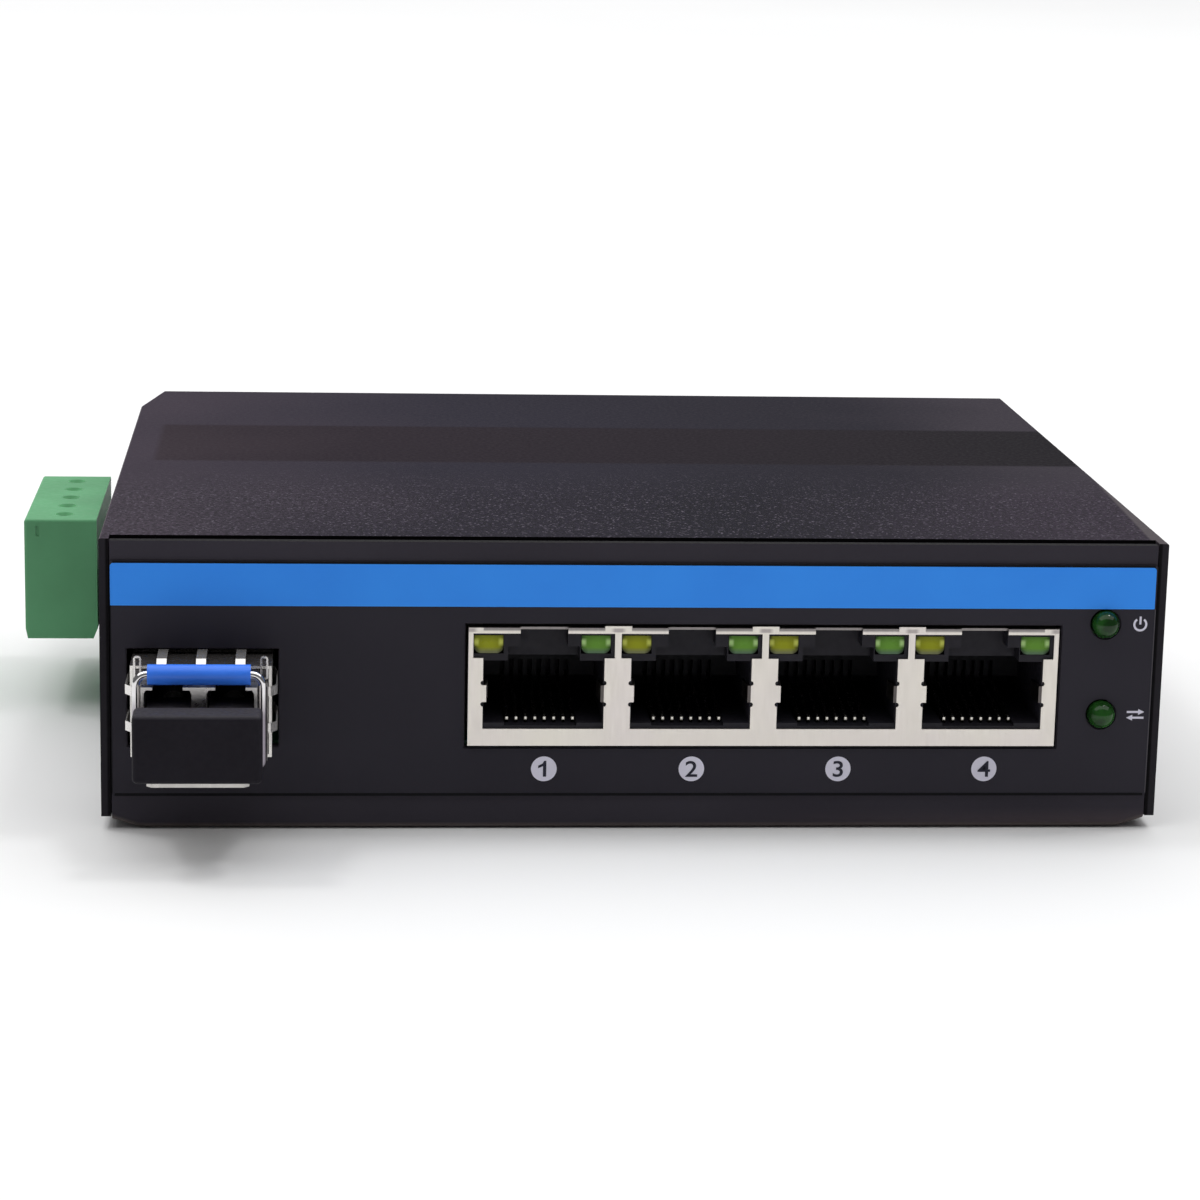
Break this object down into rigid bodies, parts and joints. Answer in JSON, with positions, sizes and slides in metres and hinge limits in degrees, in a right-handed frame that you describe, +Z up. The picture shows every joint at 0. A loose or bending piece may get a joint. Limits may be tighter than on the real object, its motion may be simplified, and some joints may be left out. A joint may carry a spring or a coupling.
{
  "type": "fiber media converter",
  "caption": "Flat dark metal box with shielded network sockets and a fibre module with wire bail and dust plug in front, a plug-in power terminal at the side and a rail clip behind.",
  "frame": {"origin": "centre of the tray's flat underside", "axes": "+X to the right seen from the front, +Y to the rear, +Z up"},
  "size_m": [0.1218, 0.1146, 0.0305],
  "materials": {
    "box_paint": "fine textured dark powder coat",
    "front_film": "matt printed polyester film",
    "shield_steel": "tin plated, soft sheen",
    "jack_plastic": "moulded black",
    "contact_gold": "gold plated",
    "lamp_yellow": "clear tinted moulding",
    "lamp_green": "clear tinted moulding",
    "cage_steel": "nickel plated stamping",
    "module_metal": "nickel plated die casting",
    "bail_steel": "bright drawn wire",
    "bail_blue": "soft sheen sleeve",
    "plug_rubber": "matt moulded",
    "led_green": "tinted epoxy",
    "terminal_green": "moulded, soft sheen",
    "bright_steel": "zinc plated",
    "board_green": "solder resist",
    "chip_black": "moulded",
    "plain_aluminium": "drawn",
    "sleeve_ceramic": "ground"
  },
  "bodies": {
    "housing": {"board_screws": "bright_steel", "board_standoffs": "bright_steel", "capacitors": "plain_aluminium", "chassis_tray": "box_paint", "cover_screws": "bright_steel", "crystal": "plain_aluminium", "din_bracket": "plain_aluminium", "din_screws": "bright_steel", "din_spring": "bright_steel", "dust_plug": "plug_rubber", "front_label": "front_film", "heat_sink": "plain_aluminium", "led_leads": "bright_steel", "link_led": "led_green", "main_board": "board_green", "optical_sleeves": "sleeve_ceramic", "power_inductor": "chip_black", "power_led": "led_green", "rj45_combs": "jack_plastic", "rj45_contacts": "contact_gold", "rj45_housing": "jack_plastic", "rj45_lamps_green": "lamp_green", "rj45_lamps_yellow": "lamp_yellow", "rj45_shield": "shield_steel", "sfp_cage": "cage_steel", "sfp_host_connector": "chip_black", "sfp_module_board": "board_green", "sfp_module_shell": "module_metal", "sfp_spring_fingers": "cage_steel", "switch_chip": "chip_black", "terminal_clamps": "bright_steel", "terminal_header": "terminal_green", "terminal_pins": "contact_gold", "terminal_plug": "terminal_green", "terminal_screws": "bright_steel", "top_cover": "box_paint", "transformers": "chip_black"},
    "bail": {"sfp_bail_wire": "bail_steel", "sfp_bail_grip": "bail_blue"}
  },
  "joints": [
    {"name": "sfp_bail", "type": "hinge", "parent": "housing", "child": "bail", "pos_m": [-0.04455, -0.0556, 0.0094], "axis": [1, 0, 0], "range_deg": [0, 20]}
  ]
}
